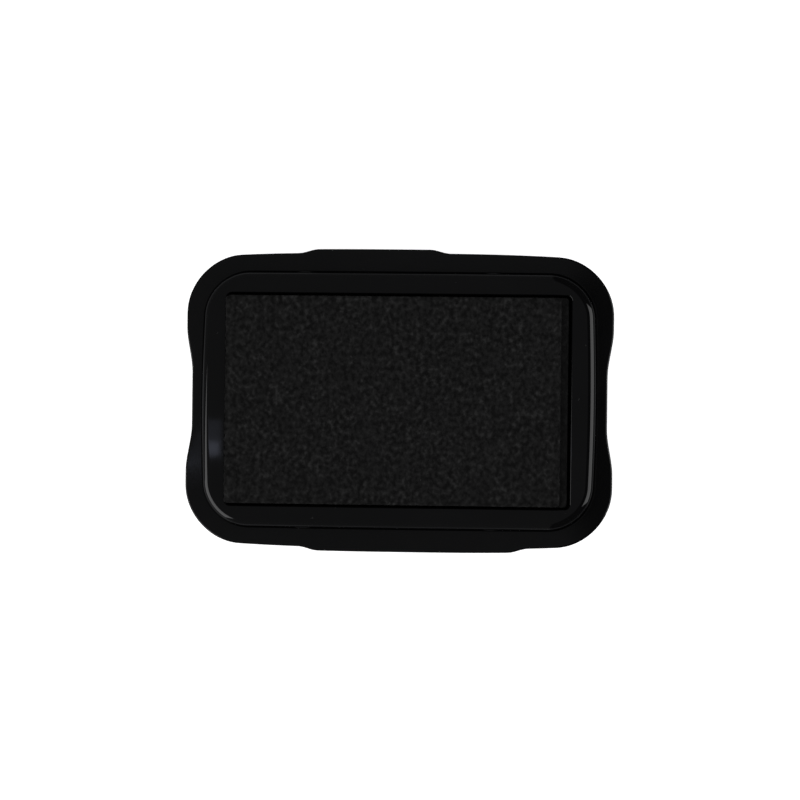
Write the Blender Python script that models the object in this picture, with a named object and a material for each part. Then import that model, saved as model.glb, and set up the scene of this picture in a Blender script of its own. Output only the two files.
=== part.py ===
"""A full-size craft ink pad in use: the felt-filled base is parked on top of its own lid.

Lengths are millimetres and become metres where a mesh is made. +X runs along the case, +Y across it
and +Z up. The origin is on the table, under the middle of the case. The lid stands on its mouth, as
it does when pads are stacked, and the base nests on it and lifts straight off.

Every moulding is a loft: a stack of closed outlines that all have the same number of points. A ring
of a loft is (outline, inset, height): the outline's function, how far inside it the ring runs, and z.
"""

import math

import bmesh
import bpy

MM = 0.001

# Outlines. A long side bows outwards and carries a thumb tab, and an end is hollowed for the fingers.
# Each tab is given by its centre and half-length along X, and the one in front (-Y) is the longer.
CASE_HALF_LENGTH = 47.85
CASE_HALF_WIDTH = 31.55
CASE_CORNER = 12.3
CASE_SIDE_BOW = 1.5
FRONT_TAB = (3.5, 21.3)
BACK_TAB = (-5.8, 12.5)
TAB_HEIGHT = 0.85
TAB_RAMP = 4.5
GRIP_DEPTH = 1.3
GRIP_HALF_LENGTH = 5.8
GRIP_RAMP = 10.5
RIM_HALF_LENGTH = 43.1
RIM_HALF_WIDTH = 28.35
RIM_CORNER = 9.6
RIM_END_BOW = 0.85
RIM_SIDE_BOW = 0.15
WELL_HALF_LENGTH = 38.4
WELL_HALF_WIDTH = 23.75
WELL_CORNER = 1.2
SEAL_HALF_LENGTH = 40.4
SEAL_HALF_WIDTH = 25.8
SEAL_CORNER = 4.5
LID_LABEL_HALF_SIZE = (38.0, 24.0)
BASE_LABEL_HALF_SIZE = (30.0, 17.0)
LABEL_CORNER = 3.0

# Steps round a corner, along a long side and along a short side of an outline.
CASE_DETAIL = (7, 20, 10)
TRAY_DETAIL = (6, 10, 8)
PLAIN_DETAIL = (4, 1, 1)

# Lid heights and walls. The lid's outer wall leans in by the draft from its mouth to its ceiling.
LID_INSET = 0.15
LID_DRAFT = 0.15
LID_WALL = 1.6
LID_CEILING = 8.2
LID_CROWN_CEILING = 9.2
LID_SHOULDER = 9.8
LID_TOP = 11.0
LID_EDGE_ROUND = 0.5
MOUTH_ROUND = 0.25
PLATEAU_INSET = 2.2
PLATEAU_ROUND = 0.3
COLLAR_MOUTH = 5.0
COLLAR_WALL = 1.1

# The seal plate inside the lid.
SEAL_GAP = 0.3
SEAL_WALL = 0.9
SEAL_TOP = 6.5
SEAL_MOUTH = 3.7
SEAL_ROUND = 0.6

# Labels sit in a recess, with a hair's gap under each stuck layer.
LABEL_RECESS = 0.4
LABEL_THICKNESS = 0.2
LAYER_GAP = 0.06

# Base heights, measured up from the base's own bottom edge.
REST_GAP = 0.3
BASE_BOTTOM = LID_SHOULDER + REST_GAP
BASE_WALL = 1.3
FLANGE_EDGE = 7.2
FLANGE_TOP = 7.4
FLANGE_THICKNESS = 1.5
FLANGE_ROUND = 0.4
TRAY_GAP = 0.3
TRAY_WALL = 1.1
TRAY_BOTTOM = 4.2
WELL_FLOOR = 5.4
PLATE_TOP = 10.8
RIM_ROUND = 1.8
WELL_ROUND = 0.35

# Ink pad layers. The stamping pad lies against the well's -X end and stops short of the other.
ADHESIVE_HALF_SIZE = (36.0, 21.5)
ADHESIVE_THICKNESS = 0.15
RESERVOIR_TOP = 10.35
RESERVOIR_END_GAP = 0.65
RESERVOIR_SIDE_GAP = 0.5
PAD_TOP = 11.8
PAD_ROUND = 0.6
PAD_CLOSE_GAP = 0.15
PAD_SHORT_END = 2.3
PAD_SIDE_GAP = 0.65
FELT_CORNER = 1.2

# Ribs inside both mouldings, and the nubs on the tray's rim that steady the lid.
RIB_POSITIONS = (-28.0, -14.0, 0.0, 14.0, 28.0)
RIB_THICKNESS = 1.0
RIB_CLEARANCE = 0.65
RIB_BITE = 0.7
RIB_LIFT = 0.9
NUB_POSITIONS = (-21.0, 21.0)
NUB_HEIGHT = 8.9
NUB_HALF_LENGTH = 2.0
NUB_RADIUS = 0.35
NUB_SINK = 0.1


def plateau(distance, flat, ramp):
    """1 out to flat, then a smooth fall to 0 over ramp."""
    t = min(1.0, max(0.0, (flat + ramp - abs(distance)) / ramp))
    return t * t * (3 - 2 * t)


def bowed(distance, half_length, height, power=2):
    """How far a side bows out, from height at its middle to nothing at half_length."""
    return height * max(0.0, 1 - abs(distance / half_length) ** power)


def rounded_rectangle(half_x, half_y, radius, detail):
    """(x, y, normal x, normal y) at each point, anticlockwise from the +X side's upper end."""
    corner_steps, long_steps, short_steps = detail
    points = []
    for quarter in range(4):
        centre_x = (1, -1, -1, 1)[quarter] * (half_x - radius)
        centre_y = (1, 1, -1, -1)[quarter] * (half_y - radius)
        for step in range(corner_steps + 1):
            angle = math.pi / 2 * (quarter + step / corner_steps)
            nx, ny = math.cos(angle), math.sin(angle)
            points.append((centre_x + radius * nx, centre_y + radius * ny, nx, ny))
        along_x = quarter % 2 == 0
        steps = long_steps if along_x else short_steps
        run = 2 * (half_x - radius) if along_x else 2 * (half_y - radius)
        x, y, nx, ny = points[-1]
        for step in range(1, steps):
            moved = run * step / steps
            points.append((x + moved * -ny, y + moved * nx, nx, ny))
    return points


def side_reach(x, side):
    """How far a long side of the case stands out past a straight one at x. Side is its sign in Y."""
    tab_centre, tab_half_length = FRONT_TAB if side < 0 else BACK_TAB
    tab = TAB_HEIGHT * plateau(x - tab_centre, tab_half_length, TAB_RAMP)
    return bowed(x, CASE_HALF_LENGTH, CASE_SIDE_BOW, 3) + tab


def case_outline(inset, detail):
    points = []
    for x, y, nx, ny in rounded_rectangle(
        CASE_HALF_LENGTH - inset, CASE_HALF_WIDTH - inset, CASE_CORNER - inset, detail
    ):
        grip = GRIP_DEPTH * plateau(y, GRIP_HALF_LENGTH, GRIP_RAMP)
        points.append((x - nx * grip, y + ny * side_reach(x, ny)))
    return points


def rim_outline(inset, detail):
    points = []
    for x, y, nx, ny in rounded_rectangle(
        RIM_HALF_LENGTH - inset, RIM_HALF_WIDTH - inset, RIM_CORNER - inset, detail
    ):
        end_bow = bowed(y, RIM_HALF_WIDTH, RIM_END_BOW)
        side_bow = bowed(x, RIM_HALF_LENGTH, RIM_SIDE_BOW)
        points.append((x + nx * end_bow, y + ny * side_bow))
    return points


def plain_outline(half_x, half_y, radius, centre_x=0.0):
    """The outline function of a rounded rectangle with straight sides."""

    def outline(inset, detail):
        ring = rounded_rectangle(half_x - inset, half_y - inset, radius - inset, detail)
        return [(x + centre_x, y) for x, y, _, _ in ring]

    return outline


well_outline = plain_outline(WELL_HALF_LENGTH, WELL_HALF_WIDTH, WELL_CORNER)
seal_outline = plain_outline(SEAL_HALF_LENGTH, SEAL_HALF_WIDTH, SEAL_CORNER)
lid_label_outline = plain_outline(*LID_LABEL_HALF_SIZE, LABEL_CORNER)
base_label_outline = plain_outline(*BASE_LABEL_HALF_SIZE, LABEL_CORNER)


def rounded_edge(outline, wall_inset, top, radius, steps=3):
    """Rings from a wall up over its rounded top edge. A negative radius rounds a hole's mouth."""
    rings = []
    for step in range(steps + 1):
        angle = math.pi / 2 * step / steps
        inset = wall_inset + radius * (1 - math.cos(angle))
        rings.append((outline, inset, top - abs(radius) * (1 - math.sin(angle))))
    return rings


def raised(rings, dz):
    return [(outline, inset, z + dz) for outline, inset, z in rings]


def make_material(name, colour, roughness):
    material = bpy.data.materials.new(name)
    material.use_nodes = True
    shader = material.node_tree.nodes["Principled BSDF"]
    shader.inputs["Base Color"].default_value = (*colour, 1.0)
    shader.inputs["Roughness"].default_value = roughness
    shader.inputs["Metallic"].default_value = 0.0
    return material


def add_object(name, bm, material, parent):
    bmesh.ops.recalc_face_normals(bm, faces=bm.faces)
    mesh = bpy.data.meshes.new(name)
    bm.to_mesh(mesh)
    bm.free()
    mesh.shade_smooth()
    mesh.set_sharp_from_angle(angle=math.radians(35))
    obj = bpy.data.objects.new(name, mesh)
    bpy.context.scene.collection.objects.link(obj)
    if material:
        mesh.materials.append(material)
    obj.parent = parent
    return obj


def loft(name, rings, detail, material, parent, through=False):
    """A solid skinned from ring to ring. Its ends are capped, or meet if a hole runs through it."""
    bm = bmesh.new()
    loops = []
    for outline, inset, z in rings:
        points = outline(inset, detail)
        loops.append([bm.verts.new((x * MM, y * MM, z * MM)) for x, y in points])
    pairs = list(zip(loops, loops[1:]))
    if through:
        pairs.append((loops[-1], loops[0]))
    else:
        bm.faces.new(loops[0])
        bm.faces.new(loops[-1])
    for first, second in pairs:
        for i in range(len(first)):
            j = (i + 1) % len(first)
            bm.faces.new((first[i], first[j], second[j], second[i]))
    return add_object(name, bm, material, parent)


def rib_boxes(bottom, top, wall_inset):
    """The ribs that span from a moulding's long walls to just short of the tray's rim."""
    bm = bmesh.new()
    for x in RIB_POSITIONS:
        inner = RIM_HALF_WIDTH + bowed(x, RIM_HALF_LENGTH, RIM_SIDE_BOW) + RIB_CLEARANCE
        for side in (-1, 1):
            outer = CASE_HALF_WIDTH + side_reach(x, side) - wall_inset + RIB_BITE
            made = bmesh.ops.create_cube(bm, size=1.0)["verts"]
            size = (RIB_THICKNESS * MM, (outer - inner) * MM, (top - bottom) * MM)
            centre = (x * MM, side * (inner + outer) / 2 * MM, (bottom + top) / 2 * MM)
            bmesh.ops.scale(bm, verts=made, vec=size)
            bmesh.ops.translate(bm, verts=made, vec=centre)
    return bm


def rim_nubs():
    """Flattened beads, half sunk in the rim's outer wall."""
    bm = bmesh.new()
    for x in NUB_POSITIONS:
        wall = RIM_HALF_WIDTH + bowed(x, RIM_HALF_LENGTH, RIM_SIDE_BOW)
        for side in (-1, 1):
            made = bmesh.ops.create_uvsphere(
                bm, u_segments=10, v_segments=6, radius=NUB_RADIUS * MM
            )["verts"]
            bmesh.ops.scale(bm, verts=made, vec=(NUB_HALF_LENGTH / NUB_RADIUS, 1, 1))
            centre = (x * MM, side * (wall - NUB_SINK) * MM, (BASE_BOTTOM + NUB_HEIGHT) * MM)
            bmesh.ops.translate(bm, verts=made, vec=centre)
    return bm


def join(target, helper_name, bm):
    """Adds the pieces in bm to target with a Boolean union. The helper stays out of the render."""
    helper = add_object(helper_name, bm, None, target.parent)
    helper.hide_render = True
    helper.display_type = "WIRE"
    union = target.modifiers.new(helper_name, "BOOLEAN")
    union.operation = "UNION"
    union.solver = "EXACT"
    union.object = helper


def lid_shell(material, parent):
    """The cover: a cup with its mouth down, a raised stacking plateau, and a collar inside."""
    inner = LID_INSET + LID_WALL
    collar_inner = -SEAL_GAP
    collar_outer = collar_inner - COLLAR_WALL
    rings = [
        (seal_outline, collar_inner, LID_CROWN_CEILING),
        (seal_outline, collar_inner, COLLAR_MOUTH),
        (seal_outline, collar_outer, COLLAR_MOUTH),
        (seal_outline, collar_outer, LID_CEILING),
        (case_outline, inner + LID_DRAFT + MOUTH_ROUND, LID_CEILING),
        (case_outline, inner + LID_DRAFT, LID_CEILING - MOUTH_ROUND),
        (case_outline, inner, MOUTH_ROUND),
        (case_outline, inner - MOUTH_ROUND, 0.0),
        (case_outline, LID_INSET + MOUTH_ROUND, 0.0),
        (case_outline, LID_INSET, MOUTH_ROUND),
        *rounded_edge(case_outline, LID_INSET + LID_DRAFT, LID_SHOULDER, LID_EDGE_ROUND),
        (case_outline, PLATEAU_INSET, LID_SHOULDER),
        *rounded_edge(case_outline, PLATEAU_INSET, LID_TOP, PLATEAU_ROUND, 2),
        (lid_label_outline, -LABEL_THICKNESS, LID_TOP),
        (lid_label_outline, -LABEL_THICKNESS, LID_TOP - LABEL_RECESS),
    ]
    shell = loft("lid_shell", rings, CASE_DETAIL, material, parent)
    join(shell, "lid_ribs", rib_boxes(RIB_LIFT, LID_CEILING + RIB_BITE, inner))


def lid_label(material, parent):
    bottom = LID_TOP - LABEL_RECESS + LAYER_GAP
    rings = [
        (lid_label_outline, 0.0, bottom),
        (lid_label_outline, 0.0, bottom + LABEL_THICKNESS),
    ]
    loft("lid_label", rings, PLAIN_DETAIL, material, parent)


def lid_seal_plate(material, parent):
    """The inner cover that keeps the ink wet: a shallow dish pressed into the lid's collar."""
    lip = SEAL_ROUND / 3
    rings = [
        *reversed(rounded_edge(seal_outline, 0.0, SEAL_TOP, SEAL_ROUND)),
        (seal_outline, 0.0, SEAL_MOUTH + lip),
        (seal_outline, lip, SEAL_MOUTH),
        (seal_outline, SEAL_WALL - lip, SEAL_MOUTH),
        (seal_outline, SEAL_WALL, SEAL_MOUTH + lip),
        (seal_outline, SEAL_WALL, SEAL_TOP - SEAL_WALL - lip),
        (seal_outline, SEAL_WALL + lip, SEAL_TOP - SEAL_WALL),
    ]
    loft("lid_seal_plate", rings, PLAIN_DETAIL, material, parent)


def base_shell(material, parent):
    """The outer case of the base: a skirt and an almost flat flange, open for the tray and below."""
    inner = BASE_WALL + LID_INSET
    throat = -TRAY_GAP
    rings = [
        (case_outline, MOUTH_ROUND + LID_INSET, 0.0),
        (case_outline, LID_INSET, MOUTH_ROUND),
        *rounded_edge(case_outline, 0.0, FLANGE_EDGE, FLANGE_ROUND),
        (rim_outline, throat - 2 * MOUTH_ROUND, FLANGE_TOP),
        (rim_outline, throat - MOUTH_ROUND / 2, FLANGE_TOP - MOUTH_ROUND / 2),
        (rim_outline, throat, FLANGE_TOP - 2 * MOUTH_ROUND),
        (rim_outline, throat, FLANGE_TOP - FLANGE_THICKNESS),
        (case_outline, inner, FLANGE_EDGE - FLANGE_THICKNESS),
        (case_outline, inner, 0.0),
    ]
    shell = loft(
        "base_shell", raised(rings, BASE_BOTTOM), CASE_DETAIL, material, parent, through=True
    )
    ribs_bottom = LID_TOP + REST_GAP + RIB_LIFT
    ribs_top = BASE_BOTTOM + FLANGE_EDGE - FLANGE_THICKNESS + RIB_BITE
    join(shell, "base_ribs", rib_boxes(ribs_bottom, ribs_top, inner))


def pad_tray(material, parent):
    """The glossy insert: a flat plate on a rim wall, with the well that holds the felt."""
    rings = [
        (well_outline, WELL_ROUND, WELL_FLOOR),
        (well_outline, 0.0, WELL_FLOOR + WELL_ROUND),
        *rounded_edge(well_outline, 0.0, PLATE_TOP, -WELL_ROUND, 2),
        *reversed(rounded_edge(rim_outline, 0.0, PLATE_TOP, RIM_ROUND, 5)),
        (rim_outline, 0.0, TRAY_BOTTOM),
        (rim_outline, TRAY_WALL, TRAY_BOTTOM),
        (rim_outline, TRAY_WALL, PLATE_TOP - TRAY_WALL),
        (well_outline, -TRAY_WALL, PLATE_TOP - TRAY_WALL),
        (well_outline, -TRAY_WALL, TRAY_BOTTOM),
    ]
    tray = loft("pad_tray", raised(rings, BASE_BOTTOM), TRAY_DETAIL, material, parent)
    join(tray, "tray_nubs", rim_nubs())


def layer(name, left, right, half_width, bottom, top, edge_round, material, parent):
    """A flat layer in the well, from x = left to right, with its upper edge rounded."""
    outline = plain_outline((right - left) / 2, half_width, FELT_CORNER, (left + right) / 2)
    rings = [(outline, 0.0, bottom), (outline, 0.0, top)]
    if edge_round:
        rings[1:] = rounded_edge(outline, 0.0, top, edge_round)
    loft(name, raised(rings, BASE_BOTTOM), PLAIN_DETAIL, material, parent)


def pad_layers(adhesive, reservoir, surface, parent):
    """From the well's floor up: adhesive sheet, ink reservoir, and the raised stamping pad."""
    adhesive_bottom = WELL_FLOOR + LAYER_GAP
    adhesive_top = adhesive_bottom + ADHESIVE_THICKNESS
    half_length, half_width = ADHESIVE_HALF_SIZE
    near_end = PAD_CLOSE_GAP - WELL_HALF_LENGTH
    layer(
        "felt_adhesive_sheet", -half_length, half_length, half_width,
        adhesive_bottom, adhesive_top, 0.0, adhesive, parent,
    )
    layer(
        "reservoir_felt", near_end, WELL_HALF_LENGTH - RESERVOIR_END_GAP,
        WELL_HALF_WIDTH - RESERVOIR_SIDE_GAP, adhesive_top + LAYER_GAP,
        RESERVOIR_TOP, 0.0, reservoir, parent,
    )
    layer(
        "stamping_pad", near_end, WELL_HALF_LENGTH - PAD_SHORT_END,
        WELL_HALF_WIDTH - PAD_SIDE_GAP, RESERVOIR_TOP + LAYER_GAP,
        PAD_TOP, PAD_ROUND, surface, parent,
    )


def base_label(material, parent):
    """The plain sticker on the underside of the tray's floor."""
    top = BASE_BOTTOM + TRAY_BOTTOM - LAYER_GAP
    rings = [
        (base_label_outline, 0.0, top - LABEL_THICKNESS),
        (base_label_outline, 0.0, top),
    ]
    loft("base_label", rings, PLAIN_DETAIL, material, parent)


def clear_scene():
    for obj in list(bpy.data.objects):
        bpy.data.objects.remove(obj, do_unlink=True)


def empty(name):
    obj = bpy.data.objects.new(name, None)
    bpy.context.scene.collection.objects.link(obj)
    return obj


def main():
    clear_scene()
    case_plastic = make_material("case_plastic", (0.006, 0.006, 0.0065), 0.32)
    tray_plastic = make_material("tray_plastic", (0.005, 0.005, 0.0055), 0.12)
    seal_plastic = make_material("seal_plastic", (0.011, 0.011, 0.012), 0.4)
    label_film = make_material("label_film", (0.035, 0.037, 0.042), 0.45)
    adhesive_film = make_material("adhesive_film", (0.55, 0.5, 0.4), 0.5)
    reservoir_felt = make_material("reservoir_felt", (0.005, 0.005, 0.005), 0.85)
    pad_felt = make_material("pad_felt", (0.009, 0.009, 0.009), 0.9)
    lid, base = empty("lid_body"), empty("base_body")
    lid_shell(case_plastic, lid)
    lid_label(label_film, lid)
    lid_seal_plate(seal_plastic, lid)
    base_shell(case_plastic, base)
    pad_tray(tray_plastic, base)
    pad_layers(adhesive_film, reservoir_felt, pad_felt, base)
    base_label(label_film, base)


main()
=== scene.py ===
"""The looks of an open craft ink pad, seen from above on a pale table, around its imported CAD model.

The mouldings are lofted again, finely and with the fillets, ribs and ejector marks of real ones, in
the boxes of their CAD nodes. The two felt layers are dense grids with grain, rounded and slightly
ragged edges, and loose fibres. A few bits of lint lie on the plate and the felt. Lengths are metres,
and MM turns millimetres into metres.
"""

import math
import random

import bmesh
import bpy
from mathutils import Matrix, Vector, noise


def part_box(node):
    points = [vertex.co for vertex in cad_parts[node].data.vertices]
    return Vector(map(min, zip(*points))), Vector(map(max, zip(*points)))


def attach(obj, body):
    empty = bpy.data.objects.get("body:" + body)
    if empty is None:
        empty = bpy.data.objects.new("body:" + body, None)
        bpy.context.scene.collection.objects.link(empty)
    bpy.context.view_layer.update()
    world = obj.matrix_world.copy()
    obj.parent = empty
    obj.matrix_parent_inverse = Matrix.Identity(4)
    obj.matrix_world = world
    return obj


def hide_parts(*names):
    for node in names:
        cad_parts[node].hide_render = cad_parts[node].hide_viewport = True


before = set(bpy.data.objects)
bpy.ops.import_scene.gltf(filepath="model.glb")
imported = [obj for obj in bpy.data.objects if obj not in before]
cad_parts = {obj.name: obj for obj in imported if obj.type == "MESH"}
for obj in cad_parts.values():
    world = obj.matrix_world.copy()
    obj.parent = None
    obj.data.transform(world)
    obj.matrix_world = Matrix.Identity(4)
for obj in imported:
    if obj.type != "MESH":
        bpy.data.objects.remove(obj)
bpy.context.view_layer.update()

MM = 0.001

# The case outline: its sides bow out and carry a thumb tab, and its ends are hollowed for the fingers.
# Each tab is given by its centre and half-length along X.
CASE_CORNER = 12.3 * MM
SIDE_BOW = 1.5 * MM
FRONT_TAB = (3.5 * MM, 21.3 * MM)
BACK_TAB = (-5.8 * MM, 12.5 * MM)
TAB_HEIGHT, TAB_RAMP = 0.85 * MM, 4.5 * MM
GRIP_DEPTH = 1.3 * MM
GRIP_FLAT, GRIP_RAMP = 5.8 * MM, 10.5 * MM
# The rim and the well of the tray, and the seal plate in the lid.
RIM_CORNER = 9.6 * MM
RIM_END_BOW, RIM_SIDE_BOW = 0.85 * MM, 0.15 * MM
RIM_HALF_WIDTH = 28.35 * MM
WELL_HALF = (38.4 * MM, 23.75 * MM)
WELL_CORNER = 1.2 * MM
SEAL_CORNER = 4.5 * MM
LABEL_HALF = (38.0 * MM, 24.0 * MM)
LABEL_CORNER = 3.0 * MM
# The gap under the parked base, the ribs inside both mouldings, and the nubs on the tray's rim.
REST_GAP = 0.3 * MM
RIB_POSITIONS = (-28 * MM, -14 * MM, 0.0, 14 * MM, 28 * MM)
RIB_THICKNESS, RIB_CLEARANCE, RIB_ROUND = 1.0 * MM, 0.65 * MM, 0.15 * MM
RIB_BITE, RIB_LIFT = 0.7 * MM, 0.9 * MM
NUB_POSITIONS = (-21 * MM, 21 * MM)
NUB_RADIUS, NUB_HALF_LENGTH = 0.35 * MM, 2.0 * MM
NUB_SINK, NUB_DROP = 0.1 * MM, 1.9 * MM

# Points round a corner, along a long side and along a short side of every fine ring.
DETAIL = (20, 84, 44)
# How far a support ring runs from the edge of a broad face.
SUPPORT = 0.05 * MM


# Node helpers


class Nodes:
    """Builds one material's node tree."""

    def __init__(self, name):
        self.material = bpy.data.materials.new(name)
        self.material.use_nodes = True
        self.tree = self.material.node_tree
        self.shader = self.tree.nodes["Principled BSDF"]
        self.position = self.add("ShaderNodeTexCoord").outputs["Object"]

    def add(self, kind, inputs=None, **settings):
        node = self.tree.nodes.new(kind)
        for key, value in settings.items():
            setattr(node, key, value)
        for key, value in (inputs or {}).items():
            self.feed(node.inputs[key], value)
        return node

    def feed(self, socket, value):
        if isinstance(value, bpy.types.NodeSocket):
            self.tree.links.new(value, socket)
        else:
            socket.default_value = value

    def math(self, operation, a, b=0.0):
        node = self.add("ShaderNodeMath", operation=operation)
        self.feed(node.inputs[0], a)
        self.feed(node.inputs[1], b)
        return node.outputs[0]

    def ramp(self, value, low, high, low_out=0.0, high_out=1.0):
        """Value, taken smoothly from low to high, as low_out to high_out."""
        inputs = {
            "Value": value,
            "From Min": low,
            "From Max": high,
            "To Min": low_out,
            "To Max": high_out,
        }
        node = self.add("ShaderNodeMapRange", inputs, interpolation_type="SMOOTHSTEP")
        return node.outputs["Result"]

    def stretched(self, size, turn=0.0):
        """The object's coordinates turned about Z, then measured in lengths of size."""
        turned = self.add("ShaderNodeMapping", {"Vector": self.position, "Rotation": (0, 0, turn)})
        scale = [1.0 / s for s in size]
        return self.add("ShaderNodeMapping", {"Vector": turned.outputs[0], "Scale": scale}).outputs[0]

    def noise(self, size, detail=3.0, roughness=0.55, vector=None):
        """Fractal noise whose largest lumps are about size across, in metres."""
        inputs = {
            "Vector": vector or self.position,
            "Scale": 1.0 / size,
            "Detail": detail,
            "Roughness": roughness,
        }
        return self.add("ShaderNodeTexNoise", inputs).outputs["Fac"]

    def cells(self, size):
        """A Voronoi node with cells about size across, in metres."""
        return self.add("ShaderNodeTexVoronoi", {"Vector": self.position, "Scale": 1.0 / size})

    def mix(self, factor, a, b):
        node = self.add("ShaderNodeMix", data_type="RGBA")
        self.feed(node.inputs["Factor"], factor)
        self.feed(node.inputs[6], a)
        self.feed(node.inputs[7], b)
        return node.outputs[2]

    def bump(self, height, distance, below=None):
        node = self.add("ShaderNodeBump", {"Height": height, "Distance": distance})
        if below:
            self.feed(node.inputs["Normal"], below)
        return node.outputs[0]

    def facing_up(self):
        """1 on a surface that faces up, 0 on one that stands upright."""
        normal = self.add("ShaderNodeNewGeometry").outputs["Normal"]
        split = self.add("ShaderNodeSeparateXYZ", {"Vector": normal})
        return self.ramp(split.outputs["Z"], 0.5, 0.95)

    def streaks(self, turn, width, length, threshold):
        """Hairline scratches: thin islands of a noise drawn out along one direction."""
        lines = self.noise(1.0, 1.0, vector=self.stretched((length, width, width), turn))
        patches = self.noise(13 * MM, 1.0)
        strength = self.ramp(lines, threshold, threshold + 0.06)
        return self.math("MULTIPLY", strength, self.ramp(patches, 0.5, 0.7))

    def specks(self, size, share):
        """Round specks up to size across in a share of the cells of a grid five times as wide."""
        cell = self.cells(5 * size)
        radius = self.math("MULTIPLY", self.ramp(cell.outputs["Color"], 1 - share, 1.0), 0.1)
        return self.math("LESS_THAN", cell.outputs["Distance"], radius)


def grey(level, tint=0.0):
    """A neutral colour of that linear brightness, made bluer by tint."""
    return (level, level, level * (1 + tint), 1.0)


def plastic(name, level, gloss, grain_size, grain_height):
    """Moulded black plastic: mould grain, smudges, a few hairline scratches and settled dust."""
    n = Nodes(name)
    tint = 0.06
    smudge = n.noise(14 * MM, 4.0, 0.6)
    grain = n.noise(grain_size, 2.0, 0.5)
    marks = n.math(
        "MAXIMUM",
        n.streaks(0.35, 0.05 * MM, 6 * MM, 0.72),
        n.streaks(-1.1, 0.05 * MM, 4 * MM, 0.73),
    )
    dust = n.math("MULTIPLY", n.specks(0.1 * MM, 0.12), n.facing_up())
    film = n.math("MULTIPLY", n.ramp(n.noise(22 * MM, 5.0, 0.65), 0.45, 0.75), n.facing_up())
    colour = n.mix(film, grey(level, tint), grey(level * 1.25, tint))
    colour = n.mix(dust, colour, grey(0.02))
    n.feed(n.shader.inputs["Base Color"], colour)
    rough = n.ramp(smudge, 0.35, 0.7, gloss, gloss * 1.6)
    rough = n.math("MAXIMUM", rough, n.math("MULTIPLY", marks, 0.12))
    rough = n.math("MAXIMUM", rough, n.math("MULTIPLY", dust, 0.9))
    n.feed(n.shader.inputs["Roughness"], rough)
    n.feed(n.shader.inputs["Normal"], n.bump(grain, grain_height))
    n.shader.inputs["IOR"].default_value = 1.49
    return n.material


def inked_felt(name, level, contrast, wet):
    """Felt soaked with black ink: matted fibres in lumps, darker where the ink stands."""
    n = Nodes(name)
    lumps = n.noise(1.0, 1.6, 0.5, n.stretched((0.95 * MM, 1.1 * MM, 1.0 * MM)))
    hairs = n.noise(1.0, 2.0, 0.6, n.stretched((0.9 * MM, 0.4 * MM, 0.4 * MM), 0.6))
    cross = n.noise(1.0, 2.0, 0.6, n.stretched((0.9 * MM, 0.4 * MM, 0.4 * MM), -0.9))
    fibres = n.math("MAXIMUM", hairs, cross)
    pools = n.noise(11 * MM, 3.0, 0.5)
    tone = n.math("ADD", n.math("MULTIPLY", lumps, 0.8), n.math("MULTIPLY", fibres, 0.2))
    busy = n.ramp(n.noise(3.5 * MM, 1.5), 0.38, 0.62, 0.45, 1.0)
    dark, plain, light = (grey(level * (1 + contrast * share)) for share in (-0.8, 0.0, 2.6))
    colour = n.mix(n.ramp(tone, 0.36, 0.54), dark, plain)
    colour = n.mix(n.math("MULTIPLY", n.ramp(tone, 0.5, 0.74), busy), colour, light)
    colour = n.mix(n.ramp(pools, 0.45, 0.7, 0.0, 0.22), colour, grey(level * 0.6, 0.1))
    lint = n.specks(0.16 * MM, 0.02)
    colour = n.mix(lint, colour, grey(level * 5))
    n.feed(n.shader.inputs["Base Color"], colour)
    n.feed(n.shader.inputs["Roughness"], n.ramp(pools, 0.45, 0.75, 0.95, wet))
    normal = n.bump(lumps, 0.2 * MM)
    normal = n.bump(fibres, 0.08 * MM, normal)
    n.feed(n.shader.inputs["Normal"], normal)
    n.shader.inputs["Specular IOR Level"].default_value = 0.12
    n.shader.inputs["Sheen Weight"].default_value = 0.01
    n.shader.inputs["Sheen Roughness"].default_value = 0.5
    return n.material


def sticker(name, level):
    """A plain dark label: coated paper with a faint fibre and rubbed, duller patches."""
    n = Nodes(name)
    fibre = n.noise(1.0, 4.0, 0.7, n.stretched((1.2 * MM, 0.25 * MM, MM), 0.2))
    rub = n.noise(16 * MM, 4.0, 0.6)
    colour = n.mix(n.ramp(fibre, 0.35, 0.7), grey(level * 0.85, 0.1), grey(level * 1.15, 0.1))
    colour = n.mix(n.ramp(rub, 0.55, 0.8, 0.0, 0.4), colour, grey(level * 1.8, 0.05))
    n.feed(n.shader.inputs["Base Color"], colour)
    n.feed(n.shader.inputs["Roughness"], n.ramp(rub, 0.35, 0.75, 0.32, 0.55))
    n.feed(n.shader.inputs["Normal"], n.bump(fibre, 0.012 * MM))
    return n.material


def adhesive_sheet(name):
    """Double-sided sheet: cream carrier paper with a tacky, orange-peel surface."""
    n = Nodes(name)
    peel = n.noise(0.9 * MM, 3.0, 0.5)
    stain = n.noise(12 * MM, 4.0, 0.6)
    colour = n.mix(n.ramp(stain, 0.45, 0.7), (0.5, 0.45, 0.35, 1), (0.12, 0.11, 0.1, 1))
    n.feed(n.shader.inputs["Base Color"], colour)
    n.feed(n.shader.inputs["Roughness"], n.ramp(peel, 0.3, 0.7, 0.3, 0.5))
    n.feed(n.shader.inputs["Normal"], n.bump(peel, 0.03 * MM))
    return n.material


def dress(node, material):
    """Gives a CAD node that stays its finished material."""
    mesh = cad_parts[node].data
    mesh.materials.clear()
    mesh.materials.append(material)


# Outlines. Each is a function of how far inside it a ring runs.


def plateau(distance, flat, ramp):
    """1 out to flat, then a smooth fall to 0 over ramp."""
    t = min(1.0, max(0.0, (flat + ramp - abs(distance)) / ramp))
    return t * t * (3 - 2 * t)


def bowed(distance, half_length, height, power=2):
    """How far a side bows out, from height at its middle to nothing at half_length."""
    return height * max(0.0, 1 - abs(distance / half_length) ** power)


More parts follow.
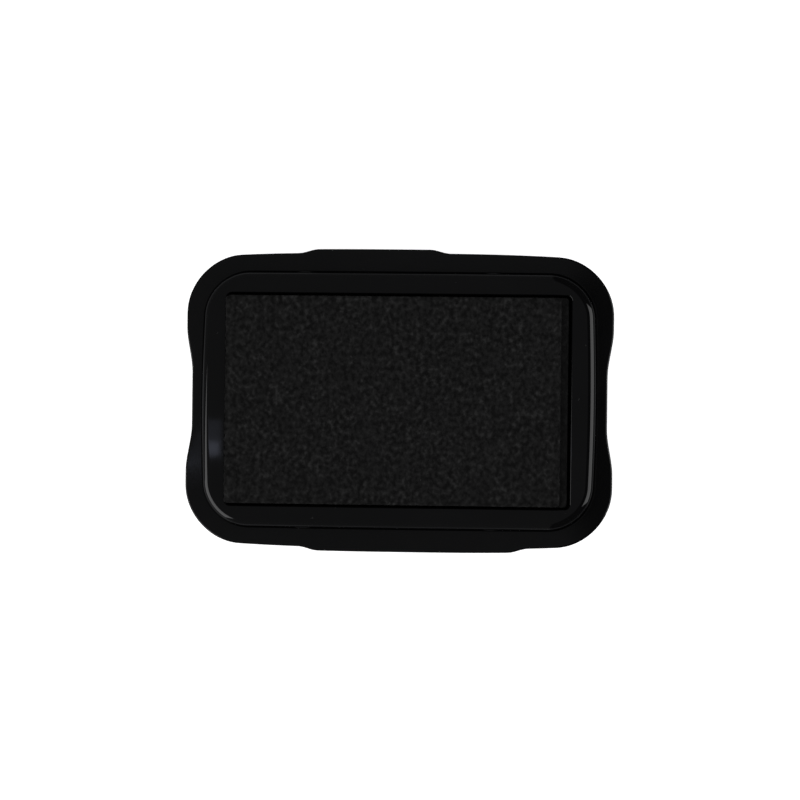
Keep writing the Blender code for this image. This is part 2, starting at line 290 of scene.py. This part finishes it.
def rounded_rectangle(half_x, half_y, radius):
    """(x, y, normal x, normal y) at each point, anticlockwise from the +X side's upper end."""
    corner_steps, long_steps, short_steps = DETAIL
    points = []
    for quarter in range(4):
        centre_x = (1, -1, -1, 1)[quarter] * (half_x - radius)
        centre_y = (1, 1, -1, -1)[quarter] * (half_y - radius)
        for step in range(corner_steps + 1):
            angle = math.pi / 2 * (quarter + step / corner_steps)
            nx, ny = math.cos(angle), math.sin(angle)
            points.append((centre_x + radius * nx, centre_y + radius * ny, nx, ny))
        along_x = quarter % 2 == 0
        steps = long_steps if along_x else short_steps
        run = 2 * (half_x - radius) if along_x else 2 * (half_y - radius)
        x, y, nx, ny = points[-1]
        for step in range(1, steps):
            moved = run * step / steps
            points.append((x + moved * -ny, y + moved * nx, nx, ny))
    return points


CASE_HALF_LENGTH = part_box("base_shell")[1].x
CASE_HALF_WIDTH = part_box("base_shell")[1].y - SIDE_BOW - TAB_HEIGHT
RIM_HALF_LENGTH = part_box("pad_tray")[1].x - RIM_END_BOW


def side_reach(x, side):
    """How far a long side of the case stands out past a straight one at x. Side is its sign in Y."""
    tab_centre, tab_flat = FRONT_TAB if side < 0 else BACK_TAB
    tab = TAB_HEIGHT * plateau(x - tab_centre, tab_flat, TAB_RAMP)
    return bowed(x, CASE_HALF_LENGTH, SIDE_BOW, 3) + tab


def case_outline(inset):
    ring = rounded_rectangle(CASE_HALF_LENGTH - inset, CASE_HALF_WIDTH - inset, CASE_CORNER - inset)
    points = []
    for x, y, nx, ny in ring:
        grip = GRIP_DEPTH * plateau(y, GRIP_FLAT, GRIP_RAMP)
        points.append((x - nx * grip, y + ny * side_reach(x, ny)))
    return points


def rim_outline(inset):
    ring = rounded_rectangle(RIM_HALF_LENGTH - inset, RIM_HALF_WIDTH - inset, RIM_CORNER - inset)
    points = []
    for x, y, nx, ny in ring:
        end_bow = bowed(y, RIM_HALF_WIDTH, RIM_END_BOW)
        side_bow = bowed(x, RIM_HALF_LENGTH, RIM_SIDE_BOW)
        points.append((x + nx * end_bow, y + ny * side_bow))
    return points


def plain_outline(half_x, half_y, radius):
    def outline(inset):
        ring = rounded_rectangle(half_x - inset, half_y - inset, radius - inset)
        return [(x, y) for x, y, _, _ in ring]

    return outline


well_outline = plain_outline(*WELL_HALF, WELL_CORNER)
seal_outline = plain_outline(*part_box("lid_seal_plate")[1].xy, SEAL_CORNER)
label_outline = plain_outline(*LABEL_HALF, LABEL_CORNER)


# Mouldings


def fillet(outline, inset, z, radius, start, turn, steps=5):
    """Rings round a quarter arc. Its centre is radius inside (or outside) the ring at inset, z.

    start is the angle that the arc begins at, 0 pointing outwards and 90 up, and turn is 90 or -90.
    """
    rings = []
    for step in range(steps + 1):
        angle = math.radians(start + turn * step / steps)
        rings.append((outline, inset - radius * math.cos(angle), z + radius * math.sin(angle)))
    return rings


def finish_mesh(name, bm, sharp=50):
    mesh = bpy.data.meshes.new(name)
    bm.to_mesh(mesh)
    bm.free()
    mesh.shade_smooth()
    mesh.set_sharp_from_angle(angle=math.radians(sharp))
    obj = bpy.data.objects.new(name, mesh)
    bpy.context.scene.collection.objects.link(obj)
    return obj


def between(first, second, share):
    return [Vector(a).lerp(Vector(b), share) for a, b in zip(first, second)]


def skin(bm, rings, through=False):
    """Skins a closed solid from ring to ring. Support rings keep the shading of broad faces flat."""
    loops = [[(x, y, z) for x, y in outline(inset)] for outline, inset, z in rings]
    pairs = list(zip(loops, loops[1:]))
    if through:
        pairs.append((loops[-1], loops[0]))
    stack = []
    for first, second in pairs:
        stack.append(first)
        gap = min((Vector(a) - Vector(b)).length for a, b in zip(first[::20], second[::20]))
        if gap > 6 * SUPPORT:
            stack.append(between(first, second, SUPPORT / gap))
            stack.append(between(first, second, 1 - SUPPORT / gap))
    if not through:
        stack.append(loops[-1])
    made = [[bm.verts.new(p) for p in loop] for loop in stack]
    pairs = list(zip(made, made[1:]))
    if through:
        pairs.append((made[-1], made[0]))
    faces = []
    for first, second in pairs:
        for i in range(len(first)):
            j = (i + 1) % len(first)
            faces.append(bm.faces.new((first[i], first[j], second[j], second[i])))
    if not through:
        faces.append(bm.faces.new(made[0]))
        faces.append(bm.faces.new(made[-1]))
    bmesh.ops.recalc_face_normals(bm, faces=faces)


def ribs(bm, bottom, top, wall_inset):
    """The ribs that span from a moulding's long walls to just short of the tray's rim."""
    for x in RIB_POSITIONS:
        inner = RIM_HALF_WIDTH + bowed(x, RIM_HALF_LENGTH, RIM_SIDE_BOW) + RIB_CLEARANCE
        for side in (-1, 1):
            outer = CASE_HALF_WIDTH + side_reach(x, side) - wall_inset + RIB_BITE
            made = bmesh.ops.create_cube(bm, size=1.0)["verts"]
            bmesh.ops.scale(bm, verts=made, vec=(RIB_THICKNESS, outer - inner, top - bottom))
            centre = (x, side * (inner + outer) / 2, (bottom + top) / 2)
            bmesh.ops.translate(bm, verts=made, vec=centre)
            edges = list({e for v in made for e in v.link_edges})
            bmesh.ops.bevel(
                bm, geom=edges, offset=RIB_ROUND, segments=2, profile=0.5, affect="EDGES"
            )


def rim_nubs(bm, z):
    """Flattened beads, half sunk in the rim's outer wall."""
    for x in NUB_POSITIONS:
        wall_y = RIM_HALF_WIDTH + bowed(x, RIM_HALF_LENGTH, RIM_SIDE_BOW) - NUB_SINK
        for side in (-1, 1):
            made = bmesh.ops.create_uvsphere(bm, u_segments=32, v_segments=16, radius=NUB_RADIUS)
            bmesh.ops.scale(bm, verts=made["verts"], vec=(NUB_HALF_LENGTH / NUB_RADIUS, 1, 1))
            bmesh.ops.translate(bm, verts=made["verts"], vec=(x, side * wall_y, z))


def pin_mark(bm, x, y, z, radius):
    """The shallow ring that an ejector pin leaves standing on a hidden face that looks down.

    Its profile is in shares of the radius, and in millimetres below the face.
    """
    profile = ((1.0, -0.15), (1.0, 0.02), (0.94, 0.07), (0.8, 0.07), (0.74, 0.02))
    count = 28
    loops = []
    for reach, depth in profile:
        loop = []
        for i in range(count):
            angle = 2 * math.pi * i / count
            place = (x + radius * reach * math.cos(angle), y + radius * reach * math.sin(angle))
            loop.append(bm.verts.new((*place, z - depth * MM)))
        loops.append(loop)
    faces = [bm.faces.new(loops[0]), bm.faces.new(loops[-1])]
    for first, second in zip(loops, loops[1:]):
        for i in range(count):
            j = (i + 1) % count
            faces.append(bm.faces.new((first[i], first[j], second[j], second[i])))
    bmesh.ops.recalc_face_normals(bm, faces=faces)


def fine_base_shell():
    """The base's outer case: a skirt with a softened foot, an almost flat flange and a throat."""
    low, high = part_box("base_shell")
    foot, fold, shoulder, lip = 0.25 * MM, 0.35 * MM, 0.4 * MM, 0.2 * MM
    inset, wall, chamfer = 0.15 * MM, 1.3 * MM, 0.5 * MM
    slope, flange_thickness, throat = 0.2 * MM, 1.5 * MM, -0.12 * MM
    skirt_top = high.z - slope
    under = skirt_top - flange_thickness
    inner = inset + wall
    rings = [
        *fillet(case_outline, inset + foot, low.z + foot, foot, -90, 90, 4),
        *fillet(case_outline, shoulder, skirt_top - shoulder, shoulder, 0, 90, 6),
        *fillet(rim_outline, throat - fold, high.z - fold, fold, 90, 90, 5),
        *fillet(rim_outline, throat - lip, under + 2 * lip, lip, 180, 90, 3),
        (case_outline, inner + chamfer, under),
        (case_outline, inner, under - chamfer),
        *fillet(case_outline, inner - lip, low.z + lip, lip, 180, 90, 3),
    ]
    bm = bmesh.new()
    skin(bm, rings, through=True)
    ribs(bm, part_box("lid_shell")[1].z + REST_GAP + RIB_LIFT, under + RIB_BITE, inner)
    return finish_mesh("fine_base_shell", bm, 40)


def fine_pad_tray():
    """The glossy insert: a flat plate with a rounded shoulder, and the sharp-mouthed well."""
    low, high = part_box("pad_tray")
    wall, floor_thickness, margin = 1.1 * MM, 1.2 * MM, 0.4 * MM
    shoulder, mouth, root, lip, chamfer = 1.8 * MM, 0.3 * MM, 0.3 * MM, 0.2 * MM, 0.5 * MM
    pin_x, pin_y, pin_radius = 34 * MM, 19.5 * MM, 1.6 * MM
    floor = low.z + floor_thickness
    rings = [
        (well_outline, root + margin, floor),
        *fillet(well_outline, root, floor + root, -root, 90, -90, 3),
        *fillet(well_outline, -mouth, high.z - mouth, mouth, 180, -90, 5),
        *fillet(rim_outline, shoulder, high.z - shoulder, shoulder, 90, -90, 14),
        *fillet(rim_outline, lip, low.z + lip, lip, 0, -90, 3),
        *fillet(rim_outline, wall - lip, low.z + lip, lip, -90, -90, 3),
        (rim_outline, wall, high.z - wall - chamfer),
        (rim_outline, wall + chamfer, high.z - wall),
        (well_outline, -wall - chamfer, high.z - wall),
        (well_outline, -wall, high.z - wall - chamfer),
        *fillet(well_outline, root - wall, low.z + root, root, 0, -90, 3),
        (well_outline, 2 * root - wall, low.z),
    ]
    bm = bmesh.new()
    skin(bm, rings)
    rim_nubs(bm, high.z - NUB_DROP)
    for x in (-pin_x, pin_x):
        for y in (-pin_y, pin_y):
            pin_mark(bm, x, y, low.z, pin_radius)
    return finish_mesh("fine_pad_tray", bm, 40)


def fine_lid_shell():
    """The cover: a cup with its mouth down, a raised stacking plateau and a collar inside."""
    low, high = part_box("lid_shell")
    shoulder, ceiling, crown = 9.8 * MM, 8.2 * MM, 9.2 * MM
    inset, draft, wall = 0.15 * MM, 0.15 * MM, 1.6 * MM
    collar_in, collar_out, collar_mouth = -0.3 * MM, -1.4 * MM, 5.0 * MM
    foot, tip, root, edge = 0.25 * MM, 0.2 * MM, 0.4 * MM, 0.5 * MM
    crease, top_edge, recess_edge = 0.2 * MM, 0.3 * MM, 0.1 * MM
    recess, hair, plateau_in = 0.4 * MM, 0.2 * MM, 2.2 * MM
    ceiling_margin, recess_margin = 1.2 * MM, 0.5 * MM
    inner = inset + wall
    rings = [
        (seal_outline, collar_in + ceiling_margin, crown),
        *fillet(seal_outline, collar_in + root, crown - root, -root, 270, -90, 3),
        *fillet(seal_outline, collar_in - tip, collar_mouth + tip, tip, 180, 90, 3),
        *fillet(seal_outline, collar_out + tip, collar_mouth + tip, tip, 270, 90, 3),
        *fillet(seal_outline, collar_out - root, ceiling - root, -root, 180, -90, 3),
        *fillet(case_outline, inner + draft + root, ceiling - root, root, 90, -90, 4),
        *fillet(case_outline, inner - foot, low.z + foot, foot, 180, 90, 4),
        *fillet(case_outline, inset + foot, low.z + foot, foot, 270, 90, 4),
        *fillet(case_outline, inset + draft + edge, shoulder - edge, edge, 0, 90, 6),
        *fillet(case_outline, plateau_in - crease, shoulder + crease, -crease, 90, -90, 3),
        *fillet(case_outline, plateau_in + top_edge, high.z - top_edge, top_edge, 0, 90, 5),
        *fillet(label_outline, -hair - recess_edge, high.z - recess_edge, recess_edge, 90, 90, 3),
        (label_outline, -hair, high.z - recess),
        (label_outline, recess_margin, high.z - recess),
    ]
    bm = bmesh.new()
    skin(bm, rings)
    ribs(bm, low.z + RIB_LIFT, ceiling + RIB_BITE, inner)
    return finish_mesh("fine_lid_shell", bm, 40)


def fine_seal_plate():
    """The inner cover that keeps the ink wet: a shallow dish with a raised bead round its middle."""
    low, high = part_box("lid_seal_plate")
    wall, lip, bend = 0.9 * MM, 0.2 * MM, 0.6 * MM
    bead, bead_inset, bead_corner = 0.35 * MM, 6.0 * MM, 3.0 * MM
    top_margin, middle_margin = 1.0 * MM, 0.4 * MM
    under = high.z - wall
    bead_outline = plain_outline(high.x - bead_inset, high.y - bead_inset, bead_corner)
    rings = [
        (seal_outline, bend + top_margin, high.z),
        *fillet(seal_outline, bend, high.z - bend, bend, 90, -90, 6),
        *fillet(seal_outline, lip, low.z + lip, lip, 0, -90, 3),
        *fillet(seal_outline, wall - lip, low.z + lip, lip, 270, -90, 3),
        *fillet(seal_outline, wall + lip, under - lip, -lip, 180, 90, 3),
        (bead_outline, -bead, under),
        *fillet(bead_outline, 0.0, under, bead, 0, -90, 4),
        *fillet(bead_outline, 0.0, under, bead, 270, -90, 4),
        (bead_outline, bead + middle_margin, under),
    ]
    bm = bmesh.new()
    skin(bm, rings)
    return finish_mesh("fine_seal_plate", bm, 40)


def stand_in(piece, node, material, body):
    """Puts a finished piece in the place of a CAD node."""
    piece.data.materials.append(material)
    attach(piece, body)
    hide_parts(node)


# Felt


def spread(low, high, cell, edge_steps):
    """Positions from low to high, cell apart, with the given steps in from both ends."""
    start, end = low + edge_steps[-1], high - edge_steps[-1]
    count = round((end - start) / cell)
    middle = [start + (end - start) * i / count for i in range(1, count)]
    return [low + s for s in edge_steps] + middle + [high - s for s in reversed(edge_steps)]


def rounded_corner(x, y, low, high, radius):
    """Pulls a point of the corner squares into quarter discs, and says how far from the edge it is."""
    inward_x, inward_y = min(x - low[0], high[0] - x), min(y - low[1], high[1] - y)
    if inward_x >= radius or inward_y >= radius:
        return x, y, min(inward_x, inward_y)
    u, v = 1 - inward_x / radius, 1 - inward_y / radius
    reach = max(u, v)
    turn = math.pi / 4 * (v / u if u >= v else 2 - u / v)
    sign_x = 1 if high[0] - x < x - low[0] else -1
    sign_y = 1 if high[1] - y < y - low[1] else -1
    centre_x = high[0] - radius if sign_x > 0 else low[0] + radius
    centre_y = high[1] - radius if sign_y > 0 else low[1] + radius
    x = centre_x + sign_x * radius * reach * math.cos(turn)
    y = centre_y + sign_y * radius * reach * math.sin(turn)
    return x, y, radius * (1 - reach)


def felt_relief(x, y, seed):
    """Height of the felt's surface over its mean: lumps of matted fibre on slow waves."""
    lumps = noise.fractal(Vector((x, y, seed)) / (0.8 * MM), 0.6, 2.0, 3)
    waves = noise.noise(Vector((x, y, seed)) / (9 * MM))
    return 0.05 * MM * lumps + 0.05 * MM * waves


def rim_of(grid):
    """The items round the edge of a grid, anticlockwise."""
    right, left = [r[-1] for r in grid[1:]], [r[0] for r in grid[-2:0:-1]]
    return grid[0] + right + grid[-1][-2::-1] + left


def felt_slab(name, node, cell, round_off, crown, seed, overhang=0.0):
    """A closed felt block in the box of the CAD node that it replaces.

    Above the plate it swells towards the well's mouth: by overhang at its -X end, and a third of
    that along its sides.
    """
    low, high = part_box(node)
    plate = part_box("pad_tray")[1].z
    corner, sink, swollen = 0.8 * MM, 0.05 * MM, 2 * MM
    right_end_softness = 2.5
    steps = [s * MM for s in (0, 0.05, 0.12, 0.22, 0.35, 0.52, 0.74, 1.0)]
    xs = spread(low.x, high.x, cell, steps)
    ys = spread(low.y, high.y, cell, steps)
    half_x, half_y = (high.x - low.x) / 2, (high.y - low.y) / 2

    def spill(x, y, z):
        near_end = 1 - min(1.0, max(0.0, (x - low.x) / swollen))
        near_side = 1 - min(1.0, max(0.0, (high.y - abs(y)) / swollen))
        above = min(1.0, max(0.0, (z - plate - 0.1 * MM) / (0.3 * MM)))
        ragged = 0.75 + 0.5 * noise.noise(Vector((x + y, 0, seed)) / (0.9 * MM))
        reach = overhang * above * ragged
        return Vector((-reach * near_end**2, math.copysign(reach / 3 * near_side**2, y), 0))

    bm = bmesh.new()
    rows = []
    feet = []
    for y in ys:
        row = []
        for x in xs:
            px, py, inward = rounded_corner(x, y, low, high, corner)
            end_soft = right_end_softness * round_off
            soft = end_soft if high.x - px < end_soft else round_off
            short = 1 - min(inward, soft) / soft
            drop = round_off * (1 - math.sqrt(max(0.0, 1 - short * short)))
            across = ((px - low.x) / half_x - 1) ** 2, ((py - low.y) / half_y - 1) ** 2
            z = high.z - sink - drop - crown * max(across) + felt_relief(px, py, seed)
            row.append(bm.verts.new(Vector((px, py, z)) + spill(px, py, z)))
            feet.append((px, py))
        rows.append(row)
    for lower, upper in zip(rows, rows[1:]):
        for i in range(len(lower) - 1):
            bm.faces.new((lower[i], lower[i + 1], upper[i + 1], upper[i]))
    edge = rim_of([[i * len(xs) + j for j in range(len(xs))] for i in range(len(ys))])
    loop = rim_of(rows)
    wall_steps = 6
    previous = loop
    for step in range(1, wall_steps + 1):
        ring = []
        for vertex, index in zip(loop, edge):
            x, y = feet[index]
            wave = abs(noise.noise(Vector((x, y, step * 3 * MM)) / (1.1 * MM))) * 0.04 * MM
            inward = Vector((low.x + high.x - 2 * x, low.y + high.y - 2 * y, 0)).normalized() * wave
            fall = low.z + (vertex.co.z - low.z) * (1 - step / wall_steps)
            ring.append(bm.verts.new(Vector((x, y, fall)) + inward + spill(x, y, fall)))
        for i in range(len(loop)):
            j = (i + 1) % len(loop)
            bm.faces.new((previous[i], ring[i], ring[j], previous[j]))
        previous = ring
    bm.faces.new(list(reversed(previous)))
    bmesh.ops.recalc_face_normals(bm, faces=bm.faces)
    return finish_mesh(name, bm)


def fibre(bm, start, heading, length, radius, rng):
    """A short bent hair: a three-sided tube along four points, closed at both ends."""
    points = [start]
    direction = heading.normalized()
    for _ in range(3):
        bend = Vector((rng.uniform(-1, 1), rng.uniform(-1, 1), rng.uniform(-0.6, 0.4))) * 0.55
        direction = (direction + bend).normalized()
        points.append(points[-1] + direction * length / 3)
    rings = []
    for i, point in enumerate(points):
        along = (points[min(i + 1, 3)] - points[max(i - 1, 0)]).normalized()
        side = along.orthogonal().normalized()
        other = along.cross(side)
        taper = radius * (1.0 if i < 3 else 0.4)
        ring = []
        for corner in range(3):
            turn = 2 * math.pi * corner / 3
            ring.append(bm.verts.new(point + (side * math.cos(turn) + other * math.sin(turn)) * taper))
        rings.append(ring)
    for first, second in zip(rings, rings[1:]):
        for i in range(3):
            j = (i + 1) % 3
            bm.faces.new((first[i], first[j], second[j], second[i]))
    bm.faces.new(list(reversed(rings[0])))
    bm.faces.new(rings[-1])


def loose_fibres(name, node, count, seed):
    """Hairs that stand out of the felt's top edge, and a few lying on its face."""
    rng = random.Random(seed)
    low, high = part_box(node)
    bm = bmesh.new()
    edge_drop, edge_in = 0.3 * MM, 0.12 * MM
    for _ in range(count):
        along = rng.random()
        side = rng.choice(("left", "left", "right", "right", "front", "back", "face", "face"))
        x = low.x + (high.x - low.x) * along
        y = low.y + (high.y - low.y) * along
        z = high.z - edge_drop
        heading = Vector((rng.uniform(-0.4, 0.4), rng.uniform(-0.4, 0.4), 0.3))
        if side == "left":
            x, heading.x = low.x + edge_in, -1.0
        elif side == "right":
            x, heading.x = high.x - edge_in, 1.0
        elif side == "front":
            y, heading.y = low.y + edge_in, -1.0
        elif side == "back":
            y, heading.y = high.y - edge_in, 1.0
        else:
            y = low.y + (high.y - low.y) * rng.random()
            z = high.z - 0.12 * MM
        fibre(bm, Vector((x, y, z)), heading, rng.uniform(0.25, 0.6) * MM, 0.018 * MM, rng)
    return finish_mesh(name, bm)


def lint(name, places, seed):
    """Single pale hairs and crumbs that have settled on the plate and the felt."""
    rng = random.Random(seed)
    bm = bmesh.new()
    for x, y, node in places:
        start = Vector((x * MM, y * MM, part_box(node)[1].z + 0.03 * MM))
        heading = Vector((rng.uniform(-1, 1), rng.uniform(-1, 1), 0.05))
        fibre(bm, start, heading, rng.uniform(0.3, 0.7) * MM, 0.035 * MM, rng)
    return finish_mesh(name, bm)


def lint_grey(name, level):
    n = Nodes(name)
    tone = n.ramp(n.noise(0.2 * MM, 2.0), 0.35, 0.65)
    n.feed(n.shader.inputs["Base Color"], n.mix(tone, grey(level * 0.6), grey(level * 1.4)))
    n.shader.inputs["Roughness"].default_value = 0.8
    n.feed(n.shader.inputs["Normal"], n.bump(tone, 0.01 * MM))
    return n.material


# Stage


def stage_floor(glow):
    """A white table that also glows a little, so that the pad casts no grey halo on it."""
    half = 4.0
    bm = bmesh.new()
    corners = ((-half, -half), (half, -half), (half, half), (-half, half))
    bm.faces.new([bm.verts.new((x, y, 0)) for x, y in corners])
    floor = finish_mesh("table", bm)
    n = Nodes("table_paper")
    tooth = n.noise(0.6 * MM, 4.0, 0.6)
    tone = n.mix(n.ramp(tooth, 0.3, 0.7), (0.84, 0.84, 0.84, 1), (0.87, 0.87, 0.87, 1))
    n.feed(n.shader.inputs["Base Color"], tone)
    n.shader.inputs["Roughness"].default_value = 0.9
    n.shader.inputs["Specular IOR Level"].default_value = 0.1
    n.shader.inputs["Emission Color"].default_value = (1, 1, 1, 1)
    n.shader.inputs["Emission Strength"].default_value = glow
    n.feed(n.shader.inputs["Normal"], n.bump(tooth, 0.02 * MM))
    floor.data.materials.append(n.material)
    floor.visible_glossy = False


def surround(radiance, mirrored, mirrored_right, mirrored_below):
    """A white tent that lights matt surfaces.

    Gloss mirrors a dim room instead, darker on the right and paler well below the horizon.
    """
    world = bpy.data.worlds.new("tent")
    world.use_nodes = True
    tree = world.node_tree

    def faded(value, low, high, low_out, high_out):
        node = tree.nodes.new("ShaderNodeMapRange")
        inputs = {"From Min": low, "From Max": high, "To Min": low_out, "To Max": high_out}
        for name, number in inputs.items():
            node.inputs[name].default_value = number
        tree.links.new(value, node.inputs["Value"])
        return node.outputs["Result"]

    tent = tree.nodes["Background"]
    tent.inputs["Color"].default_value = (1.0, 1.0, 1.0, 1.0)
    tent.inputs["Strength"].default_value = radiance
    room = tree.nodes.new("ShaderNodeBackground")
    room.inputs["Color"].default_value = (0.95, 0.97, 1.0, 1.0)
    direction = tree.nodes.new("ShaderNodeTexCoord").outputs["Generated"]
    split = tree.nodes.new("ShaderNodeSeparateXYZ")
    tree.links.new(direction, split.inputs[0])
    total = tree.nodes.new("ShaderNodeMath")
    sideways = faded(split.outputs["X"], 0.05, 0.1, mirrored, mirrored_right)
    downwards = faded(split.outputs["Z"], -0.15, -0.5, 0.0, mirrored_below)
    tree.links.new(sideways, total.inputs[0])
    tree.links.new(downwards, total.inputs[1])
    tree.links.new(total.outputs[0], room.inputs["Strength"])
    mixed = tree.nodes.new("ShaderNodeMixShader")
    ray = tree.nodes.new("ShaderNodeLightPath")
    tree.links.new(ray.outputs["Is Glossy Ray"], mixed.inputs[0])
    tree.links.new(tent.outputs[0], mixed.inputs[1])
    tree.links.new(room.outputs[0], mixed.inputs[2])
    tree.links.new(mixed.outputs[0], tree.nodes["World Output"].inputs["Surface"])
    bpy.context.scene.world = world


def panel(name, centre, target, width, height, radiance, colour=(1, 1, 1)):
    """A softbox that faces target. Radiance is its brightness."""
    light = bpy.data.lights.new(name, "AREA")
    light.shape = "RECTANGLE"
    light.size, light.size_y = width, height
    light.energy = radiance * math.pi * width * height
    light.color = colour
    obj = bpy.data.objects.new(name, light)
    bpy.context.scene.collection.objects.link(obj)
    obj.location = centre
    obj.rotation_mode = "QUATERNION"
    obj.rotation_quaternion = (Vector(centre) - Vector(target)).to_track_quat("Z", "Y")
    obj.visible_camera = False


def softbox(name, azimuth, elevation, width, height, radiance):
    """A panel 0.7 m away. Azimuth 0 is +X and 90 is +Y."""
    a, e = math.radians(azimuth), math.radians(elevation)
    away = Vector((math.cos(a) * math.cos(e), math.sin(a) * math.cos(e), math.sin(e)))
    panel(name, away * 0.7, (0, 0, 0), width, height, radiance)


def camera(view_width, lens, roll, lean, aim):
    """Looks down on aim, a place on the plate where view_width spans the picture.

    Lean is how far it stands to +X of straight above, as a share of its distance.
    """
    data = bpy.data.cameras.new("camera")
    data.lens = lens
    data.sensor_width = 36.0
    data.clip_start = 0.01
    obj = bpy.data.objects.new("camera", data)
    bpy.context.scene.collection.objects.link(obj)
    back = Vector((lean, 0, 1)).normalized()
    right = Vector((-math.sin(roll), math.cos(roll), 0)).cross(back).normalized()
    obj.matrix_world = Matrix((right, back.cross(right), back)).transposed().to_4x4()
    target = Vector((*aim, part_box("pad_tray")[1].z))
    obj.location = target + back * view_width * lens / data.sensor_width
    bpy.context.scene.camera = obj


# The pad

case = plastic("case_black", 0.0017, gloss=0.075, grain_size=0.35 * MM, grain_height=0.003 * MM)
polished = plastic("tray_black", 0.0017, gloss=0.024, grain_size=2.5 * MM, grain_height=0.0006 * MM)
satin = plastic("seal_black", 0.008, gloss=0.38, grain_size=0.8 * MM, grain_height=0.01 * MM)
label = sticker("label_grey", 0.03)

stand_in(fine_lid_shell(), "lid_shell", case, "lid")
stand_in(fine_seal_plate(), "lid_seal_plate", satin, "lid")
stand_in(fine_base_shell(), "base_shell", case, "base")
stand_in(fine_pad_tray(), "pad_tray", polished, "base")
dress("lid_label", label)
dress("base_label", label)
dress("felt_adhesive_sheet", adhesive_sheet("adhesive_cream"))

pad_felt = inked_felt("pad_felt", 0.0054, contrast=0.75, wet=0.85)
pad = felt_slab(
    "inked_pad", "stamping_pad", cell=0.3 * MM, round_off=0.6 * MM, crown=0.08 * MM, seed=1.0,
    overhang=0.55 * MM,
)
stand_in(pad, "stamping_pad", pad_felt, "base")

wet_felt = inked_felt("wet_felt", 0.0036, contrast=0.4, wet=0.6)
reservoir = felt_slab(
    "ink_reservoir", "reservoir_felt", cell=0.7 * MM, round_off=0.2 * MM, crown=0.0, seed=4.0
)
stand_in(reservoir, "reservoir_felt", wet_felt, "base")

hairs = loose_fibres("felt_fibres", "stamping_pad", count=600, seed=7)
hairs.data.materials.append(pad_felt)
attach(hairs, "base")

# Where each bit of lint lies, in millimetres, and the node that it lies on.
places = (
    (12.7, 26.3, "pad_tray"),
    (-19.0, -26.4, "pad_tray"),
    (40.3, 1.0, "pad_tray"),
    (41.4, 12.8, "pad_tray"),
    (-40.6, 14.5, "pad_tray"),
    (-10.6, 9.8, "stamping_pad"),
    (33.4, -13.3, "stamping_pad"),
    (5.5, -17.2, "stamping_pad"),
)
crumbs = lint("settled_lint", places, seed=3)
crumbs.data.materials.append(lint_grey("lint_grey", 0.03))
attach(crumbs, "base")

stage_floor(glow=0.6)
surround(radiance=0.85, mirrored=0.09, mirrored_right=0.012, mirrored_below=0.15)
softbox("right_softbox", -3, 24, width=0.62, height=0.62, radiance=1.55)
softbox("left_softbox", 209.5, 24, width=0.66, height=0.55, radiance=1.75)
window = (0.72, 0.78, 1.0)
panel("window_pane", (-0.28, -0.025, 1.0), (0.0, -0.025, 0.0), 0.022, 0.23, 0.27, window)
panel("window_sill", (-0.24, -0.032, 0.99), (0.0, -0.032, 0.0), 0.009, 0.15, 0.8, window)
camera(view_width=0.1778, lens=110, roll=0.012, lean=0.055, aim=(0.49 * MM, 0.18 * MM))

bpy.context.scene.view_settings.view_transform = "Standard"
